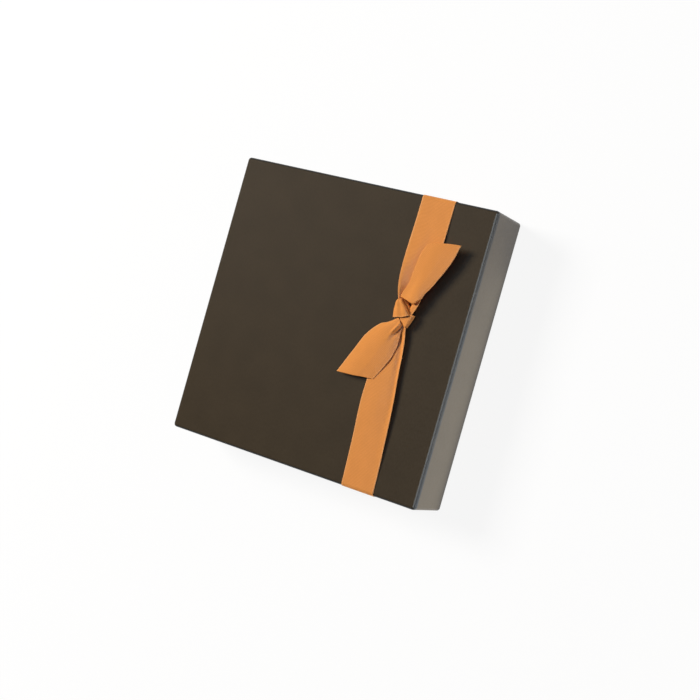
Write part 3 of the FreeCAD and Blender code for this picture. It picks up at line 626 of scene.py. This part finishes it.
KNOT_TURN = [
    [(46.0, 16.0, 4.5), (49.8, 17.0, 5.0), (52.6, 17.8, 5.1), (54.2, 17.8, 4.9), (54.2, 17.6, 1.6)],
    [(47.0, 13.4, 4.2), (49.6, 14.0, 4.7), (51.6, 14.0, 5.0), (52.7, 13.8, 4.9), (52.8, 13.8, 1.4)],
    [(48.4, 11.6, 3.4), (49.4, 11.0, 3.6), (50.2, 10.5, 3.8), (50.9, 10.1, 3.8), (51.0, 10.0, 1.6)],
    [(48.6, 12.6, 2.2), (49.4, 12.4, 2.2), (50.0, 12.2, 2.0), (50.5, 12.0, 1.6), (50.6, 12.2, 0.8)],
]


def ribbon():
    """The ribbon's two bands, two tails and the two turns of its knot."""
    band("band_upper", 1, UPPER_BAND)
    band("band_lower", -1, LOWER_BAND)
    strip_object("tail_upper", smooth_grid(UPPER_TAIL), rolled=ROLLED_SHARE)
    strip_object("tail_lower", smooth_grid(LOWER_TAIL))
    strip_object("knot_wrap", gathered(smooth_grid(KNOT_WRAP)), turned=True)
    strip_object("knot_turn", smooth_grid(KNOT_TURN))


# Pad

def pad():
    """Quilted pad: two embossed faces that meet in a crimped edge."""
    low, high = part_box("candy_pad")
    count = PAD_SQUARES * PAD_CUTS + 1
    x = np.linspace(low.x, high.x, count)
    y = np.linspace(low.y, high.y, count)
    square = np.linspace(0, PAD_SQUARES, count)
    rise = np.abs(np.sin(math.pi * square)) ** PAD_BULGE
    swell = rise[:, None] * rise[None, :]
    middle = (low.z + high.z) / 2
    half = (high.z - low.z) / 2
    ends = np.minimum(square, PAD_SQUARES - square) / PAD_CRIMP
    rim = np.clip(np.minimum(ends[:, None], ends[None, :]), 0, 1)
    thick = half * (PAD_EDGE + rim * (PAD_SEAM + PAD_SWELL * swell))
    grid_x, grid_y = np.meshgrid(x, y, indexing="ij")
    top = np.stack([grid_x, grid_y, middle + thick], axis=-1)
    bottom = np.stack([grid_x, grid_y, middle - thick], axis=-1)
    mesh = shell("candy_pad_quilt", top, bottom)[0]
    piece = add_piece("candy_pad_quilt", mesh, PAD_PAPER, "pad")
    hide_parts("candy_pad")


# Stage

def floor():
    """A pale floor that is white to the camera and in gloss, and keeps a soft shadow."""
    made, tree, shader = new_material("studio_floor")
    shader.inputs["Base Color"].default_value = FLOOR_COLOUR
    shader.inputs["Roughness"].default_value = FLOOR_ROUGHNESS
    path = add(tree, "ShaderNodeLightPath")
    seen = math_node(tree, "MAXIMUM", path.outputs["Is Camera Ray"], path.outputs["Is Glossy Ray"])
    seen = math_node(tree, "MAXIMUM", seen, path.outputs["Is Transmission Ray"])
    glow = add(tree, "ShaderNodeEmission", (("Color", WHITE), ("Strength", 1.0)))
    reach = add(tree, "ShaderNodeVectorMath", ((0, row_place(tree)),), operation="LENGTH").outputs["Value"]
    glow_share = remap(tree, reach, FLOOR_NEAR, FLOOR_FAR, FLOOR_GLOW, 1.0)
    share = math_node(tree, "MULTIPLY", seen, glow_share)
    mixed = add(tree, "ShaderNodeMixShader", ((0, share), (1, shader.outputs[0]), (2, glow.outputs[0])))
    tree.links.new(mixed.outputs[0], tree.nodes["Material Output"].inputs["Surface"])
    corners = [(x * FLOOR_HALF, y * FLOOR_HALF, 0) for x, y in ((-1, -1), (1, -1), (1, 1), (-1, 1))]
    mesh = bpy.data.meshes.new("floor")
    mesh.from_pydata(corners, [], [(0, 1, 2, 3)])
    mesh.materials.append(made)
    thing = bpy.data.objects.new("floor", mesh)
    bpy.context.scene.collection.objects.link(thing)


def world():
    """Even pale light from all round, and white behind the object."""
    made = bpy.data.worlds.new("studio")
    made.use_nodes = True
    bpy.context.scene.world = made
    tree = made.node_tree
    background = tree.nodes["Background"]
    path = add(tree, "ShaderNodeLightPath")
    strength = remap(tree, path.outputs["Is Camera Ray"], 0, 1, SKY_STRENGTH, 1.0)
    plug(tree, background.inputs["Strength"], strength)
    background.inputs["Color"].default_value = WHITE


def lamp(name, place, aim, size, power, colour, glossy=True, diffuse=True):
    """A rectangular soft lamp turned towards a point, unseen by the camera."""
    data = bpy.data.lights.new(name, "AREA")
    data.shape = "RECTANGLE"
    data.size, data.size_y = size
    data.energy = power
    data.color = colour
    thing = bpy.data.objects.new(name, data)
    thing.location = place
    thing.rotation_euler = (aim - place).to_track_quat("-Z", "Y").to_euler()
    thing.visible_camera = False
    thing.visible_glossy = glossy
    thing.visible_diffuse = diffuse
    bpy.context.scene.collection.objects.link(thing)


def camera():
    """The camera at the photograph's place."""
    data = bpy.data.cameras.new("camera")
    data.lens = CAMERA_LENS
    data.sensor_width = CAMERA_SENSOR
    data.clip_start = CAMERA_NEAR
    thing = bpy.data.objects.new("camera", data)
    thing.location = CAMERA_PLACE
    thing.rotation_euler = [math.radians(angle) for angle in CAMERA_TURN]
    bpy.context.scene.collection.objects.link(thing)
    bpy.context.scene.camera = thing


finish_nodes()
ribbon()
pad()
floor()
world()
lamp("key", KEY_PLACE, LID_MIDDLE, KEY_SIZE, KEY_POWER, KEY_COLOUR, glossy=False)
lamp("side", SIDE_PLACE, LID_MIDDLE, SIDE_SIZE, SIDE_POWER, SIDE_COLOUR)
lamp("panel", PANEL_PLACE, LID_MIDDLE, PANEL_SIZE, PANEL_POWER, KEY_COLOUR)
lamp("card", CARD_PLACE, CARD_AIM, CARD_SIZE, CARD_POWER, COOL_COLOUR, glossy=False)
lamp("rim", RIM_PLACE, RIM_AIM, RIM_SIZE, RIM_POWER, COOL_COLOUR, diffuse=False)
camera()
bpy.context.scene.view_settings.view_transform = "Standard"
